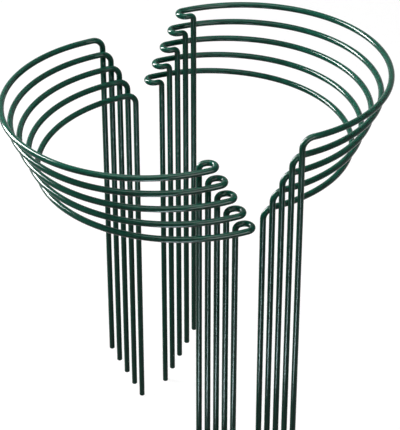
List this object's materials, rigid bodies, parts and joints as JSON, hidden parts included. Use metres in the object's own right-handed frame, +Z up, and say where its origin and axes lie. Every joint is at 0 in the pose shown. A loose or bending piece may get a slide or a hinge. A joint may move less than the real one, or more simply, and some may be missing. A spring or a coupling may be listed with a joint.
{
  "type": "plant support ring stake",
  "caption": "Half-ring plant support stakes of green plastic-coated steel wire: a half ring on ground legs, with a hairpin hook that links it to the next stake.",
  "frame": {"origin": "under the middle of the set, midway between the two rows, level with the lowest feet", "axes": "+Z up along the legs; +Y from the hook legs to the plain legs of the left row; +X from the left row to the right row"},
  "size_m": [0.3806, 0.3176, 0.4848],
  "materials": {
    "green_coat": "glossy dark green plastic coat",
    "steel_core": "drawn wire"
  },
  "bodies": {
    "left_stake_1": {"left_stake_1_core": "steel_core", "left_stake_1_coat": "green_coat"},
    "left_stake_2": {"left_stake_2_core": "steel_core", "left_stake_2_coat": "green_coat"},
    "left_stake_3": {"left_stake_3_core": "steel_core", "left_stake_3_coat": "green_coat"},
    "left_stake_4": {"left_stake_4_core": "steel_core", "left_stake_4_coat": "green_coat"},
    "left_stake_5": {"left_stake_5_core": "steel_core", "left_stake_5_coat": "green_coat"},
    "right_stake_1": {"right_stake_1_core": "steel_core", "right_stake_1_coat": "green_coat"},
    "right_stake_2": {"right_stake_2_core": "steel_core", "right_stake_2_coat": "green_coat"},
    "right_stake_3": {"right_stake_3_core": "steel_core", "right_stake_3_coat": "green_coat"},
    "right_stake_4": {"right_stake_4_core": "steel_core", "right_stake_4_coat": "green_coat"},
    "right_stake_5": {"right_stake_5_core": "steel_core", "right_stake_5_coat": "green_coat"}
  },
  "joints": [
    {"name": "left_stake_4_lift", "type": "slide", "parent": "left_stake_5", "child": "left_stake_4", "axis": [0, 0, 1], "range_m": [0, 0.15]},
    {"name": "left_stake_3_lift", "type": "slide", "parent": "left_stake_4", "child": "left_stake_3", "axis": [0, 0, 1], "range_m": [0, 0.15]},
    {"name": "left_stake_2_lift", "type": "slide", "parent": "left_stake_3", "child": "left_stake_2", "axis": [0, 0, 1], "range_m": [0, 0.15]},
    {"name": "left_stake_1_lift", "type": "slide", "parent": "left_stake_2", "child": "left_stake_1", "axis": [0, 0, 1], "range_m": [0, 0.15]},
    {"name": "right_stake_5_lift", "type": "slide", "parent": "left_stake_5", "child": "right_stake_5", "axis": [0, 0, 1], "range_m": [0, 0.15]},
    {"name": "right_stake_4_lift", "type": "slide", "parent": "right_stake_5", "child": "right_stake_4", "axis": [0, 0, 1], "range_m": [0, 0.15]},
    {"name": "right_stake_3_lift", "type": "slide", "parent": "right_stake_4", "child": "right_stake_3", "axis": [0, 0, 1], "range_m": [0, 0.15]},
    {"name": "right_stake_2_lift", "type": "slide", "parent": "right_stake_3", "child": "right_stake_2", "axis": [0, 0, 1], "range_m": [0, 0.15]},
    {"name": "right_stake_1_lift", "type": "slide", "parent": "right_stake_2", "child": "right_stake_1", "axis": [0, 0, 1], "range_m": [0, 0.15]}
  ]
}
